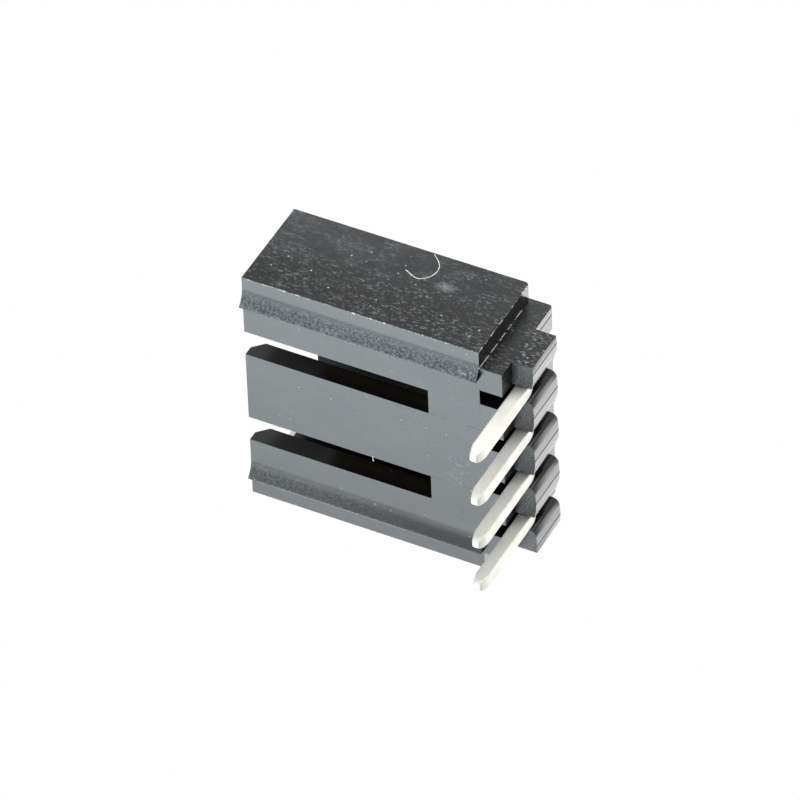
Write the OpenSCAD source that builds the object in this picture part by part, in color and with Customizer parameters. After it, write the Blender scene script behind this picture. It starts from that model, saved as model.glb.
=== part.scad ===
// Four-way right-angle shrouded pin header, single row, for soldering into a board.
// X runs along the row, the mouth faces -Y, the board lies below at Z = 0.
// The origin is the middle of the solder-tail row, on the board's surface.

/* [Posts] */
// Spacing of the posts along the row
pitch = 2.54; // [2.5:0.01:2.6]
// Side of the square post
post = 0.64; // [0.6:0.01:0.7]
// Length of a post inside the shroud, from the cavity floor
mate_len = 6.4; // [5:0.1:7.5]
// Length of a solder tail below the board's surface
tail_len = 3.3; // [2.6:0.1:4.2]
// Inner radius of the right-angle bend
bend_r = 1.1; // [0.8:0.05:1.15]
// Length of the taper on the inner and outer face of a post
tip_len = 0.58; // [0.45:0.01:0.7]
// Length of the shorter taper on its two side faces
tip_side = 0.3; // [0.2:0.01:0.4]
// Share of the side left at the very end of a post
tip_share = 0.6; // [0.4:0.05:0.7]

/* [Housing] */
// Housing beyond the last pitch cell at each end of the row
end_extra = 1.295; // [1.2:0.005:1.5]
// Housing from mouth to rear face
body_y = 11.53; // [10.5:0.01:13]
// Housing height
body_z = 5; // [4.8:0.1:5.6]
// Thickness of the board-side and top walls
wall = 1; // [0.85:0.05:1.1]
// Thickness of the end walls
end_wall = 1; // [0.85:0.05:1.15]
// Depth of the cavity from the mouth
cavity_depth = 9; // [8:0.1:9.5]
// Lead-in bevel around the mouth
lead_in = 0.5; // [0.3:0.05:0.6]
// Rounding of the upper rear edge
rear_r = 0.22; // [0.15:0.01:0.4]
// Distance from the tail row to the rear face
tail_setback = 1.5; // [1.45:0.01:1.65]

/* [Keying] */
// Width of the two key slots in the board-side wall
key_w = 1.34; // [1.2:0.02:1.5]
// Width of the latch notch in the top wall
latch_w = 4.9; // [4:0.1:6]
// Depth of the latch notch from the mouth
latch_y = 1.4; // [1:0.1:1.8]

/* [Board ridges] */
// Height of the ridges that stand on the board
ridge_h = 0.35; // [0.2:0.05:0.5]
// Width of a ridge along the row
ridge_w = 0.42; // [0.3:0.02:0.6]
// Flat left on the crest of a ridge
ridge_flat = 0.06; // [0.04:0.02:0.12]
// Fillet where the slope of a ridge runs out into the face
foot_r = 1.1; // [0.6:0.05:1.1]
// Distance of each ridge from the middle of the row
ridge_x = 5.1; // [4.9:0.05:5.3]

/* [Rear comb] */
// Gap between two fins, in which a tail lies
fin_gap = 0.82; // [0.75:0.01:1]
// Thickness of the fin at each end of the comb
end_fin = 1.26; // [1:0.01:1.4]
// Reach of the tall part of a fin behind the rear face
fin_y = 1.1; // [0.9:0.02:1.2]
// Rounding of the tall part's upper rear edge
fin_r = 0.18; // [0.1:0.01:0.3]
// Reach of the tab of a fin behind the rear face
tab_y = 2.11; // [1.95:0.01:2.3]
// Lower side of a tab above the board-side face
tab_low = 0.985; // [0.8:0.005:1.2]
// Upper side of a tab above the board-side face
tab_high = 3.31; // [3.1:0.01:3.6]
// Rounded lip of a tab where a tail enters
lip_r = 0.36; // [0.25:0.01:0.5]
// Rise of a tab's rear face from the lip to the parting line
crown = 0.03; // [0.01:0.01:0.06]
// Height of the slanted facet on the other side of a tab
facet_x = 0.42; // [0.3:0.01:0.6]
// Set-back of that facet
facet_y = 0.11; // [0.08:0.01:0.25]
// Fall of a tab's upper side along that facet
facet_z = 0.12; // [0.05:0.01:0.2]

/* [Hidden] */
$fn = 48;
ways = 4;
eps = 0.01;
body_x = ways * pitch + 2 * end_extra;
y_rear = -tail_setback;
y_mouth = y_rear - body_y;
y_floor = y_mouth + cavity_depth;
z_low = ridge_h;
z_top = z_low + body_z;
z_post = z_low + body_z / 2;
cavity_x = body_x - 2 * end_wall;
cavity_z = body_z - 2 * wall;
key_x = pitch;
fin_t = pitch - fin_gap;
comb_x = (ways - 1) * pitch + fin_gap + 2 * end_fin;
bend_in = min(bend_r, tail_setback - post / 2);
bend_y = -(post / 2 + bend_in);
bend_z = z_post - post / 2 - bend_in;
slope = atan2(ridge_h, ridge_w - ridge_flat);
foot_fit = min(foot_r, 0.9 * ridge_h / sin(slope) / tan(slope / 2));
foot_x = ridge_w / 2 + foot_fit * tan(slope / 2);
foot_steps = 10;
plastic = "#2b2d2f";
tin = "#c9c8c2";

// Sliver that rounds off a corner at the origin, the solid lying towards -x and -y
module round_off(r) {
    difference() {
        translate([-r, -r])
            square(r + eps);
        translate([-r, -r])
            circle(r = r);
    }
}

// Profile of the housing seen from the end of the row, drawn as Y across and Z up
module body_profile() {
    difference() {
        translate([y_mouth, z_low])
            square([body_y, body_z]);
        translate([y_rear, z_top])
            round_off(rear_r);
    }
}

// Outer block of the housing
module body() {
    translate([-body_x / 2, 0, 0])
        rotate([90, 0, 90])
            linear_extrude(height = body_x)
                body_profile();
}

// Cavity for the plug, with the bevelled lead-in at the mouth
module cavity() {
    translate([-cavity_x / 2, y_mouth - 1, z_low + wall])
        cube([cavity_x, cavity_depth + 1, cavity_z]);
    hull() {
        translate([-cavity_x / 2 - lead_in, y_mouth - eps, z_low + wall - lead_in])
            cube([cavity_x + 2 * lead_in, eps, cavity_z + 2 * lead_in]);
        translate([-cavity_x / 2, y_mouth + lead_in - eps, z_low + wall])
            cube([cavity_x, eps, cavity_z]);
    }
}

// Key slots in the board-side wall, open at the mouth
module key_slots() {
    for (side = [-1, 1])
        translate([side * key_x - key_w / 2, y_mouth - 1, z_low - 1])
            cube([key_w, cavity_depth + 1, wall + 1 + eps]);
}

// Notch through the top wall at the mouth, for the latch of the plug
module latch_notch() {
    translate([-latch_w / 2, y_mouth - 1, z_top - wall - eps])
        cube([latch_w, latch_y + 1, wall + 1]);
}

// Square holes through the rear wall, in which the posts are pressed
module post_holes() {
    for (k = [0 : ways - 1])
        translate([pin_x(k) - post / 2, y_floor - 1, z_post - post / 2])
            cube([post, y_rear - y_floor + 2, post]);
}

// Point of the fillet at a ridge's foot, at that angle round from the face
function foot_point(angle) = [foot_x - foot_fit * sin(angle), z_low - foot_fit * (1 - cos(angle))];

// One wedge ridge: its crest on the board, its steep side towards -X, its slope filleted at the foot
module ridge(x) {
    translate([x, y_rear, 0])
        rotate([90, 0, 0])
            linear_extrude(height = body_y)
                polygon(concat(
                    [
                        [foot_x, z_low + wall / 2],
                        [-ridge_w / 2, z_low + wall / 2],
                        [-ridge_w / 2, 0],
                        [ridge_flat - ridge_w / 2, 0]
                    ],
                    [for (k = [foot_steps : -1 : 0]) foot_point(slope * k / foot_steps)]
                ));
}

// Part of a fin that lies within the length of the comb, drawn as X across and Y up
module comb_part() {
    intersection() {
        children();
        translate([-comb_x / 2, y_rear - 1])
            square([comb_x, tab_y + 2]);
    }
}

// Outline of the tall part of a fin
module fin_outline(x) {
    translate([x - fin_t / 2, y_rear - rear_r])
        square([fin_t, fin_y + rear_r]);
}

// Outline of a tab: its lip on the +X side, its slanted facet on the -X side
module tab_outline(x) {
    difference() {
        polygon([
            [x - fin_t / 2, y_rear - rear_r],
            [x + fin_t / 2, y_rear - rear_r],
            [x + fin_t / 2, y_rear + tab_y - crown],
            [x + fin_t / 2 - lip_r, y_rear + tab_y - crown],
            [x, y_rear + tab_y],
            [x - fin_t / 2 + facet_x, y_rear + tab_y - crown / 2],
            [x - fin_t / 2, y_rear + tab_y - facet_y]
        ]);
        translate([x + fin_t / 2, y_rear + tab_y - crown])
            round_off(lip_r);
    }
}

// One fin of the comb: a tall part at the housing and a shorter tab behind it
module fin(x) {
    difference() {
        translate([0, 0, z_low])
            linear_extrude(height = body_z)
                comb_part()
                    fin_outline(x);
        translate([x - fin_t, y_rear + fin_y, z_top])
            rotate([90, 0, 90])
                linear_extrude(height = 2 * fin_t)
                    round_off(fin_r);
    }
    difference() {
        translate([0, 0, z_low + tab_low])
            linear_extrude(height = tab_high - tab_low)
                comb_part()
                    tab_outline(x);
        translate([x - fin_t / 2, y_rear + tab_y + 1, z_low + tab_high])
            rotate([90, 0, 0])
                linear_extrude(height = tab_y + 2)
                    polygon([[facet_x, 0], [facet_x, 1], [-eps, 1], [-eps, -facet_z]]);
    }
}

// Place of a post along the row, the first one at the +X end
function pin_x(k) = ((ways - 1) / 2 - k) * pitch;

// Moulded housing with keyed shroud, board ridges and rear comb
module housing() {
    color(plastic)
        difference() {
            union() {
                body();
                ridge(ridge_x);
                ridge(-ridge_x);
                for (k = [0 : ways])
                    fin((ways / 2 - k) * pitch);
            }
            cavity();
            key_slots();
            latch_notch();
            post_holes();
        }
}

// Tapered square end of a post, pointing up from the local origin
module tip() {
    end = post / 2 * tip_share;
    intersection() {
        rotate([90, 0, 0])
            linear_extrude(height = post, center = true)
                polygon([
                    [-post / 2, 0],
                    [post / 2, 0],
                    [post / 2, tip_len - tip_side],
                    [end, tip_len],
                    [-end, tip_len],
                    [-post / 2, tip_len - tip_side]
                ]);
        rotate([90, 0, 90])
            linear_extrude(height = post, center = true)
                polygon([[-post / 2, 0], [post / 2, 0], [end, tip_len], [-end, tip_len]]);
    }
}

// One square post: mating end, right-angle bend and solder tail
module pin(k) {
    color(tin)
        translate([pin_x(k), 0, 0]) {
            translate([-post / 2, y_floor - mate_len + tip_len, z_post - post / 2])
                cube([post, bend_y - y_floor + mate_len - tip_len, post]);
            translate([0, y_floor - mate_len + tip_len, z_post])
                rotate([90, 0, 0])
                    tip();
            translate([0, bend_y, bend_z])
                rotate([90, 0, 90])
                    rotate_extrude(angle = 90)
                        translate([bend_in, -post / 2])
                            square(post);
            translate([-post / 2, -post / 2, tip_len - tail_len])
                cube([post, post, bend_z + tail_len - tip_len]);
            translate([0, 0, tip_len - tail_len])
                rotate([180, 0, 0])
                    tip();
        }
}

module pin_1() {
    pin(0);
}

module pin_2() {
    pin(1);
}

module pin_3() {
    pin(2);
}

module pin_4() {
    pin(3);
}

housing();
pin_1();
pin_2();
pin_3();
pin_4();
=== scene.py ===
"""A right-angle shrouded pin header: a black moulded housing with a keyed mouth and a rear comb,
and four tinned square pins whose tails leave through the comb towards the board."""

import math

import bpy
from mathutils import Matrix, Vector


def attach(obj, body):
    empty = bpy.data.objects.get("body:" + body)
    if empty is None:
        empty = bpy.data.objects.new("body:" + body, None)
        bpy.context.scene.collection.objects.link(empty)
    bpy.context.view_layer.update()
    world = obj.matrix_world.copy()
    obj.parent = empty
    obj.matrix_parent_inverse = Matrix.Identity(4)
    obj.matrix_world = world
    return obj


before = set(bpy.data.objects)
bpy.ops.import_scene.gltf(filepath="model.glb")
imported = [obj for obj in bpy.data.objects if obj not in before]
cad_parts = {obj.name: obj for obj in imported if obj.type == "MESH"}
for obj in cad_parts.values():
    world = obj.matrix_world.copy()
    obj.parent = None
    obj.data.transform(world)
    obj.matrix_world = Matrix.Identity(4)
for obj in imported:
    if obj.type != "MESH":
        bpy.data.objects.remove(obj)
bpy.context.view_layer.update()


# Housing: one piece of black glass-filled nylon, moulded in a steel tool. Its skin is deep black
# and glossy, and its cavity is matt. The ends, which scrape along the tool as the part leaves it,
# and the worn ridges show pale fibres, and the pieces of the tool leave fine dull lines. Some pale
# is painted light: sheen under the tabs and on the ridges, highlights on edges, shade on the comb.
MM = 0.001  # in metres, while the materials read places on a piece in millimetres
PITCH = 2.54
END_FACE = 6.375
MOUTH = -13.03
REAR_FACE = -1.5
BOARD_FACE = 0.35
CAVITY_SIDE = 5.375
CAVITY_LOW = 1.35
CAVITY_HIGH = 4.35
SLOT_END = -4.03
SLOT_INNER = 1.87
SLOT_OUTER = 3.21
COMB_END = 5.48
HOUSING_EDGE = 0.05 * MM
EDGE_STEPS, SHARP_ANGLE, FLAT_ANGLE = 3, 0.6, 0.01
SAME_POINT = 0.0005 * MM
SKIN_RELIEF = 0.004 * MM
FIBRE_GRAINS = (12.0, 4.4, 12.5)
WEAR_GRAINS = (12.0, 9.0, 12.0)
CHIP_GRAINS = (4.0, 4.0, 4.0)
SMEAR = (-4.67, 3.55)
SCUFF = (-0.9, -2.6)
DUST_CELLS, DUST_SIZE, DUST_SHARE = 2.5, 0.065, 0.35
SEAM_REACH = 0.08
INSERT_REACH = 0.04
HOUSING_BLACK = (0.0034, 0.0036, 0.0040, 1.0)
FIBRE_WARM = (0.310, 0.310, 0.305, 1.0)
FIBRE_COOL = (0.255, 0.295, 0.325, 1.0)
DUST_AND_HIGHLIGHT_PALE = (0.60, 0.61, 0.60, 1.0)
SKIN_ROUGH = 0.21
NYLON_IOR = 1.44


class Wire:
    """A shader socket that takes part in Python expressions; each operator adds a Math node."""

    def __init__(self, tree, socket=None):
        self.tree, self.socket = tree, socket

    def node(self, kind, settings=None, inputs=None, output=0):
        """Adds a node of that kind: its settings first, then the values or links of its sockets."""
        made = self.tree.nodes.new(kind)
        for name, value in (settings or {}).items():
            setattr(made, name, value)
        for name, value in (inputs or {}).items():
            if isinstance(value, Wire):
                self.tree.links.new(value.socket, made.inputs[name])
            else:
                made.inputs[name].default_value = value
        return Wire(self.tree, made.outputs[output])

    def math(self, operation, *values):
        """Adds a Math node with that operation."""
        return self.node("ShaderNodeMath", {"operation": operation}, dict(enumerate(values)))

    def __add__(self, other):
        return self.math("ADD", self, other)

    def __radd__(self, other):
        return self.math("ADD", other, self)

    def __sub__(self, other):
        return self.math("SUBTRACT", self, other)

    def __rsub__(self, other):
        return self.math("SUBTRACT", other, self)

    def __mul__(self, other):
        return self.math("MULTIPLY", self, other)

    def __rmul__(self, other):
        return self.math("MULTIPLY", other, self)

    def __abs__(self):
        return self.math("ABSOLUTE", self)

    def larger(self, other):
        """The larger of the two values."""
        return self.math("MAXIMUM", self, other)

    def rises(self, low, high):
        """0 below low and 1 above high, with a smooth step from one to the other."""
        return self.node(
            "ShaderNodeMapRange",
            {"interpolation_type": "SMOOTHSTEP"},
            {"Value": self, "From Min": low, "From Max": high},
        )

    def falls(self, low, high):
        """1 below low and 0 above high, with a smooth step from one to the other."""
        return 1 - self.rises(low, high)

    def near(self, centre, reach):
        """1 at that value and 0 beyond that reach on either side of it."""
        return abs(self - centre).falls(0.4 * reach, reach)

    def blend(self, first, second):
        """A colour that goes from first to second as this value goes from 0 to 1."""
        return self.node(
            "ShaderNodeMix", {"data_type": "RGBA"}, {0: self, 6: first, 7: second}, output=2
        )

    def along(self, axis):
        """One coordinate of this vector."""
        return self.node("ShaderNodeSeparateXYZ", None, {"Vector": self}, output=axis)

    def stretch(self, factors):
        """This vector with each coordinate multiplied."""
        return self.node(
            "ShaderNodeVectorMath", {"operation": "MULTIPLY"}, {0: self, 1: factors}
        )

    def noise(self, grains, detail=2.0, roughness=0.5):
        """Noise at this place in millimetres, with that many grains a millimetre along X, Y, Z."""
        spread = {"Scale": 1.0, "Detail": detail, "Roughness": roughness}
        return self.node("ShaderNodeTexNoise", None, {"Vector": self.stretch(grains), **spread})

    def relief(self, distance):
        """The normal of a surface that this value raises, by that distance for each unit."""
        return self.node("ShaderNodeBump", None, {"Distance": distance, "Height": self})


def new_finish(name):
    """An empty material: itself, its Principled node, and the place on the piece in millimetres."""
    finish = bpy.data.materials.new(name)
    finish.use_nodes = True
    shader = finish.node_tree.nodes["Principled BSDF"]
    metres = Wire(finish.node_tree).node("ShaderNodeTexCoord", output="Object")
    return finish, shader, metres.stretch((1 / MM, 1 / MM, 1 / MM))


def feed(shader, **wires):
    """Links wires to the shader's sockets, named with _ for a space."""
    for name, wire in wires.items():
        wire.tree.links.new(wire.socket, shader.inputs[name.replace("_", " ")])


def dress(node, finish, edge_width):
    """Gives a solid its finish, and rounds its sharp edges as the tool or the die leaves them."""
    node.data.materials.clear()
    node.data.materials.append(finish)
    joined = node.modifiers.new("join_faces", "WELD")
    joined.merge_threshold = SAME_POINT
    flat = node.modifiers.new("flat_faces", "DECIMATE")
    flat.decimate_type, flat.angle_limit = "DISSOLVE", FLAT_ANGLE
    edge = node.modifiers.new("eased_edges", "BEVEL")
    edge.width, edge.segments = edge_width, EDGE_STEPS
    edge.limit_method, edge.angle_limit = "ANGLE", SHARP_ANGLE
    node.modifiers.new("even_light", "WEIGHTED_NORMAL")


def flecks(place, cells, size, share):
    """Small round specks: that share of the cells, so many to a millimetre, hold one each."""
    cell = {"Vector": place, "Scale": cells}
    away = place.node("ShaderNodeTexVoronoi", None, cell)
    draw = place.node("ShaderNodeTexVoronoi", None, cell, output="Color")
    there = draw.along("X").falls(share, share + 0.01) * (0.3 + 0.7 * draw.along("Y"))
    return away.falls(0.5 * size * cells, size * cells) * there


def squared_distance(first, second, centre, factors):
    """The square of the distance from a centre, with each of the two directions multiplied."""
    one, other = (first - centre[0]) * factors[0], (second - centre[1]) * factors[1]
    return one * one + other * other


moulded, shader, place = new_finish("moulded_black")
x, y, z = [place.along(axis) for axis in "XYZ"]
facing = place.node("ShaderNodeTexCoord", output="Normal")
sideways, rearward, upward = [facing.along(axis) for axis in "XYZ"]
to_board = upward.falls(-0.97, -0.90)
to_rear = rearward.rises(0.80, 0.95)
to_end = (sideways * x).rises(1.9, 3.2) * abs(x).rises(4.3, 4.6)
on_end = x.rises(END_FACE - 0.175, END_FACE - 0.075)

# Fibres and haze on the scraped ends, in patches, and far more of both on the end towards +X.
scraped = to_end * (0.2 + 0.8 * x.rises(-1.0, 1.0))
grain = place.noise(FIBRE_GRAINS, detail=1.0, roughness=0.9)
drift = place.noise((0.9, 0.6, 1.1), detail=3.0, roughness=0.6).rises(0.36, 0.66)
cloud = place.noise((0.30, 0.25, 0.30))
rubbed = y.rises(-11.0, -2.0)
far_up = z.rises(1.0, 5.4)
rear_corner = y.rises(-6.0, -2.5) * z.falls(0.8, 3.2)
strewn_and_painted_shade = (0.34 + 0.14 * rubbed) * (0.35 + drift) * (1 - 0.4 * far_up) + 0.28 * rear_corner
# On the comb's tall part next to the rear wall, around y = -1, the fibres thin out: painted shade,
# where the housing shades that part.
strewn_and_painted_shade = strewn_and_painted_shade * (1 + 0.6 * y.rises(-0.5, -0.2) - 0.5 * y.near(-1.0, 0.6))
strewn_and_painted_shade = strewn_and_painted_shade * (1 - on_end * z.falls(BOARD_FACE + 0.07, BOARD_FACE + 0.25))
fibres_and_painted_shade = grain.rises(0.48 + 0.05 * rubbed, 0.72) * (0.03 + 0.97 * scraped) * strewn_and_painted_shade
haze = scraped * far_up * (0.35 + 0.65 * y.falls(-13.0, -1.0)) * (0.65 + 0.7 * drift)

# Wear on the slopes and crests of the ridges, faintly on the board face; painted sheen under tabs.
fine = place.noise(WEAR_GRAINS, roughness=0.8).rises(0.36, 0.66)
slope = sideways.rises(0.01, 0.12) * z.falls(BOARD_FACE + 0.02, BOARD_FACE + 0.04)
# The ridge near +X gets its pale in full, and on the other it fades from the mouth towards the
# rear: partly wear, partly painted sheen.
ridge_share = (0.06 + 0.55 * y.falls(-12.0, -3.0)).larger(x.rises(4.0, 4.5))
on_ridge = slope * sideways.rises(0.02, 0.35) * ridge_share
crest = z.falls(0.01, 0.06)
under_tab = to_board * y.rises(REAR_FACE + 0.1, REAR_FACE + 0.2) * z.rises(1.0, 1.2)
wear_and_painted_light = (0.46 * on_ridge + 0.20 * crest) * (0.1 + 0.9 * fine)
# A pale cover under the tabs is painted sheen: it lightens their undersides as the light they catch
# would.
wear_and_painted_light = wear_and_painted_light + 0.42 * under_tab * (0.4 + 0.6 * fine) + 0.03 * to_board * (drift + 0.5 * fine)

# A smear on the end, a scuff on the board face, dust, and painted highlights along a few edges.
smear = squared_distance(y, z, SMEAR, (1.6, 2.8)).falls(0.1, 1.0) * on_end
smear = smear * (0.4 + 0.6 * grain.rises(0.30, 0.62))
scuff = squared_distance(x, y, SCUFF, (1.0, 1.6)).falls(0.2, 1.3) * to_board
scuff = scuff * place.noise(CHIP_GRAINS, detail=3.0).rises(0.55, 0.72)
low_edge = z.falls(BOARD_FACE + 0.02, BOARD_FACE + 0.06)
rear_edge = y.rises(REAR_FACE - 0.05, REAR_FACE - 0.02)
# Pale broken dashes along the board-side and rear edges of the end face: painted edge highlights.
edge_highlights = x.rises(END_FACE - 0.055, END_FACE - 0.025) * low_edge.larger(rear_edge)
edge_highlights = edge_highlights * place.noise(CHIP_GRAINS, detail=3.0, roughness=0.8).rises(0.47, 0.67)
# A pale dashed line along the inner corner beside the comb: a painted highlight.
corner_highlight = x.near(COMB_END + 0.01, 0.03) * y.near(REAR_FACE + 0.01, 0.03) * z.falls(4.4, 4.6)
corner_highlight = corner_highlight * place.noise((3.0, 3.0, 5.0)).rises(0.42, 0.50)
settled = 0.1 + 0.9 * scraped + 0.15 * to_board
dust_and_painted_highlights = flecks(place, DUST_CELLS, DUST_SIZE, DUST_SHARE) * settled
# The pale of the dust also carries the painted edge highlights and the painted corner highlight.
dust_and_painted_highlights = dust_and_painted_highlights + 0.12 * scuff + edge_highlights + 0.8 * corner_highlight

# Lines of the tool: its parting line on the back of each fin, and inserts on the board face.
seam = x.math("PINGPONG", x, PITCH / 2).near(0.0, SEAM_REACH) * to_rear * y.rises(-0.6, -0.5)
insert = abs(x).near(SLOT_INNER, INSERT_REACH) * y.rises(SLOT_END, SLOT_END + 0.02)
insert = (insert + y.near(REAR_FACE, 0.03)) * abs(x).falls(4.5, 4.8) * to_board
insert = insert * place.noise((1.6, 1.6, 1.6)).rises(0.46, 0.56)
lines = seam + 0.4 * insert

# Matt walls: the floor and long sides of the cavity, and the key slots just behind the mouth.
above_wall = z.rises(CAVITY_LOW - 0.05, CAVITY_LOW + 0.01)
in_cavity = above_wall * z.falls(CAVITY_HIGH - 0.01, CAVITY_HIGH + 0.05)
in_cavity = in_cavity * abs(x).falls(CAVITY_SIDE - 0.075, CAVITY_SIDE - 0.005)
in_cavity = in_cavity * y.falls(SLOT_END, SLOT_END + 0.05)
in_slot = (1 - above_wall) * abs(x).falls(SLOT_OUTER + 0.09, SLOT_OUTER + 0.19)
in_slot = in_slot * abs(sideways).rises(0.80, 0.95)
in_slot = in_slot * y.rises(MOUTH + 0.23, MOUTH + 1.63) * y.falls(MOUTH + 2.83, MOUTH + 4.03)
matt = in_cavity + in_slot

# Colour and gloss from all of these, and a relief in which the wide faces bow very slightly.
pale = fibres_and_painted_shade + 0.13 * haze + 0.42 * smear + wear_and_painted_light
fibre_colour = (cloud + 0.3 * on_ridge).blend(FIBRE_WARM, FIBRE_COOL)
feed(shader, Base_Color=dust_and_painted_highlights.blend(pale.blend(HOUSING_BLACK, fibre_colour), DUST_AND_HIGHLIGHT_PALE))
rough = SKIN_ROUGH + 0.10 * scraped * grain + 0.05 * cloud + 0.30 * under_tab + 0.08 * slope
rough = rough + 0.55 * matt + 0.28 * lines + 0.5 * dust_and_painted_highlights * scraped
feed(shader, Roughness=rough)
bow = 0.9 * x * x
skin = grain * (0.08 + 0.52 * scraped) - 0.2 * lines + bow
feed(shader, Normal=skin.relief(SKIN_RELIEF))
shader.inputs["IOR"].default_value = NYLON_IOR
dress(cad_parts["housing"], moulded, HOUSING_EDGE)


# Pins: four square posts of copper alloy wire, cut to length with coined tips, bent once and
# pressed through the rear wall. The tails are matt tin, the mating ends have a thin gold plate.
PIN_COUNT = 4
PIN_EDGE = 0.09 * MM
DRAWN_RELIEF = 0.004 * MM
GOLD_STARTS = -3.4
TIN = (0.76, 0.755, 0.715, 1.0)
TIN_DULL = (0.66, 0.65, 0.605, 1.0)
GOLD = (0.83, 0.58, 0.24, 1.0)
TIN_ROUGH, GOLD_ROUGH = 0.62, 0.22

plated, shader, place = new_finish("tin_and_gold_plate")
mating = place.along("Y").falls(GOLD_STARTS - 0.3, GOLD_STARTS + 0.3)
drawn = place.noise((12.0, 12.0, 3.0), detail=3.0, roughness=0.6)
stain = place.noise((1.3, 1.3, 0.9), detail=3.0, roughness=0.6)
tin = (0.5 * stain.rises(0.42, 0.72) + 0.5 * drawn.rises(0.5, 0.8)).blend(TIN, TIN_DULL)
feed(shader, Base_Color=mating.blend(tin, GOLD))
rough = TIN_ROUGH + 0.12 * drawn + 0.06 * stain - (TIN_ROUGH - GOLD_ROUGH) * mating
feed(shader, Roughness=rough, Normal=drawn.relief(DRAWN_RELIEF))
shader.inputs["Metallic"].default_value = 1.0
for number in range(1, PIN_COUNT + 1):
    dress(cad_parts[f"pin_{number}"], plated, PIN_EDGE)


# Lint: two loose white textile fibres, a curled one that has settled on the end of the housing
# and a short one caught on the edge of a key slot.
LINT_THICK = 0.045 * MM
LINT_GRAINS = (9.0, 9.0, 9.0)
LINT_WHITE = (0.80, 0.80, 0.78, 1.0)
LINT_SHADE = (0.55, 0.55, 0.53, 1.0)
LINT_ROUGH = 0.7
curl = [
    (-6.10, 5.27), (-5.83, 5.04), (-5.58, 4.78), (-5.47, 4.47), (-5.49, 4.09), (-5.65, 3.78),
    (-5.94, 3.55), (-6.19, 3.53), (-6.46, 3.68), (-6.76, 3.83),
]
settled_one = [(END_FACE, run, rise) for run, rise in curl]
caught_one = [
    (-1.76, -6.85, 0.345), (-1.85, -6.89, 0.340), (-1.96, -6.88, 0.335), (-2.07, -6.84, 0.335),
]
course = bpy.data.curves.new("lint", "CURVE")
course.dimensions, course.resolution_u = "3D", 6
course.bevel_depth, course.bevel_resolution = LINT_THICK / 2, 2
course.use_fill_caps = True
for bends in (settled_one, caught_one):
    strand = course.splines.new("NURBS")
    strand.points.add(len(bends) - 1)
    strand.order_u, strand.use_endpoint_u = 4, True
    for point, bend in zip(strand.points, bends):
        point.co = (*(Vector(bend) * MM), 1.0)
lint = bpy.data.objects.new("lint", course)
bpy.context.scene.collection.objects.link(lint)
cotton, shader, place = new_finish("white_fibre")
shaded = place.noise(LINT_GRAINS).rises(0.35, 0.65)
feed(shader, Base_Color=shaded.blend(LINT_WHITE, LINT_SHADE))
shader.inputs["Roughness"].default_value = LINT_ROUGH
course.materials.append(cotton)
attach(lint, "root")


# Floor: a plain pale sheet of card, laid far below the part so that it stands clear of the tails
# and leaves room for the light and the camera under the board face.
FLOOR_DROP = 0.42
FLOOR_HALF = 3.5
FLOOR_GRAINS = (0.01, 0.01, 0.01)
FLOOR_PALE = (0.84, 0.84, 0.84, 1.0)
FLOOR_PALER = (0.86, 0.86, 0.86, 1.0)
FLOOR_ROUGH = 0.9
sheet = bpy.data.meshes.new("floor")
corners = [(-1, -1), (1, -1), (1, 1), (-1, 1)]
sheet.from_pydata(
    [(FLOOR_HALF * right, FLOOR_HALF * back, -FLOOR_DROP) for right, back in corners],
    [],
    [(0, 1, 2, 3)],
)
floor = bpy.data.objects.new("floor", sheet)
bpy.context.scene.collection.objects.link(floor)
card, shader, place = new_finish("pale_sheet")
feed(shader, Base_Color=place.noise(FLOOR_GRAINS).blend(FLOOR_PALE, FLOOR_PALER))
shader.inputs["Roughness"].default_value = FLOOR_ROUGH
sheet.materials.append(card)


# Light: an even white room, and eight soft boxes close to the part, which the glossy faces of the
# housing mirror and the matt tails and the pale fibres scatter.
ROOM_LEVEL = 0.6
PART_MIDDLE = Vector((0.0, -6.0, 1.5)) * MM
WHITE = (1.0, 1.0, 1.0)
COOL = (0.88, 0.95, 1.0)
SLIGHTLY_COOL = (0.92, 0.97, 1.0)
ALONG_Y, ALONG_Z = (0, 1, 0), (0, 0, 1)
room = bpy.data.worlds.new("white_room")
room.use_nodes = True
bpy.context.scene.world = room
rays = Wire(room.node_tree)
shown = rays.node("ShaderNodeLightPath", output="Is Camera Ray")
for kind in ("Is Glossy Ray", "Is Transmission Ray"):
    shown = shown.larger(rays.node("ShaderNodeLightPath", output=kind))
background = room.node_tree.nodes["Background"]
background.inputs["Color"].default_value = (*WHITE, 1.0)
feed(background, Strength=ROOM_LEVEL + (1 - ROOM_LEVEL) * shown)


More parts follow.
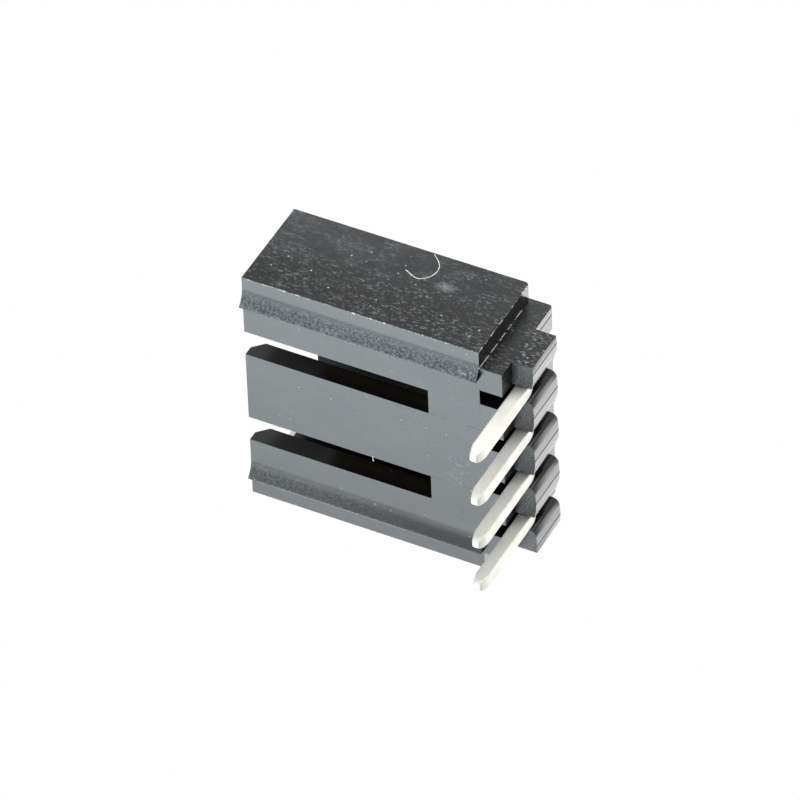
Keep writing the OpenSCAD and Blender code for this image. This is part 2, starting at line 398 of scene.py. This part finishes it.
def soft_box(name, towards, upright, width, height, level, tint=WHITE, distance=0.13):
    """A lamp of that level that faces the part from that direction, its height along that axis."""
    lamp = bpy.data.lights.new(name, "AREA")
    lamp.shape, lamp.size, lamp.size_y = "RECTANGLE", width, height
    lamp.energy = level * math.pi * width * height
    lamp.color = tint
    box = bpy.data.objects.new(name, lamp)
    away = Vector(towards).normalized()
    aside = Vector(upright).cross(away).normalized()
    turn = Matrix((aside, away.cross(aside), away)).transposed().to_4x4()
    box.matrix_world = Matrix.Translation(PART_MIDDLE + away * distance) @ turn
    bpy.context.scene.collection.objects.link(box)


soft_box("board_side_box", (-0.758, -0.36, -0.551), ALONG_Y, 0.106, 0.13, 2.3, COOL, 0.4)
soft_box("under_box", (-0.551, -0.35, -0.758), ALONG_Y, 0.120, 0.066, 4.35, COOL)
soft_box("front_box", (0.520, -0.30, -0.800), ALONG_Y, 0.227, 0.080, 2.3, SLIGHTLY_COOL)
soft_box("side_box", (0.95, 0.10, 0.30), ALONG_Z, 0.087, 0.087, 3.7)
soft_box("comb_side_box", (-0.625, 0.43, 0.65), ALONG_Z, 0.05, 0.03, 2.7)
soft_box("far_end_box", (-0.753, 0.106, 0.65), ALONG_Z, 0.041, 0.03, 1.4)
soft_box("rear_top_box", (-0.046, 0.758, 0.65), ALONG_Z, 0.132, 0.036, 4.3)
soft_box("mouth_side_box", (-0.50, -0.68, 0.53), ALONG_Z, 0.09, 0.09, 1.6)


# Camera: far off with a long lens, as a close-up of a small part is taken. It looks up at the
# board face from the rear and one end, so that the comb, the tails and that end show as well.
FOCAL_LENGTH, SENSOR_WIDTH = 405.0, 36.0
CAMERA_PLACE = Vector((266.815, 131.710, -253.657)) * MM
CAMERA_RIGHT = Vector((-0.02781, 0.89144, 0.45228))
CAMERA_DOWN = Vector((-0.73651, 0.28764, -0.61223))
CAMERA_AHEAD = Vector((-0.67586, -0.35013, 0.64855))
lens = bpy.data.cameras.new("camera")
lens.lens, lens.sensor_width = FOCAL_LENGTH, SENSOR_WIDTH
lens.clip_start, lens.clip_end = 0.01, 20.0
camera = bpy.data.objects.new("camera", lens)
turn = Matrix((CAMERA_RIGHT, -CAMERA_DOWN, -CAMERA_AHEAD)).transposed().to_4x4()
camera.matrix_world = Matrix.Translation(CAMERA_PLACE) @ turn
bpy.context.scene.collection.objects.link(camera)
bpy.context.scene.camera = camera
bpy.context.scene.view_settings.view_transform = "Standard"
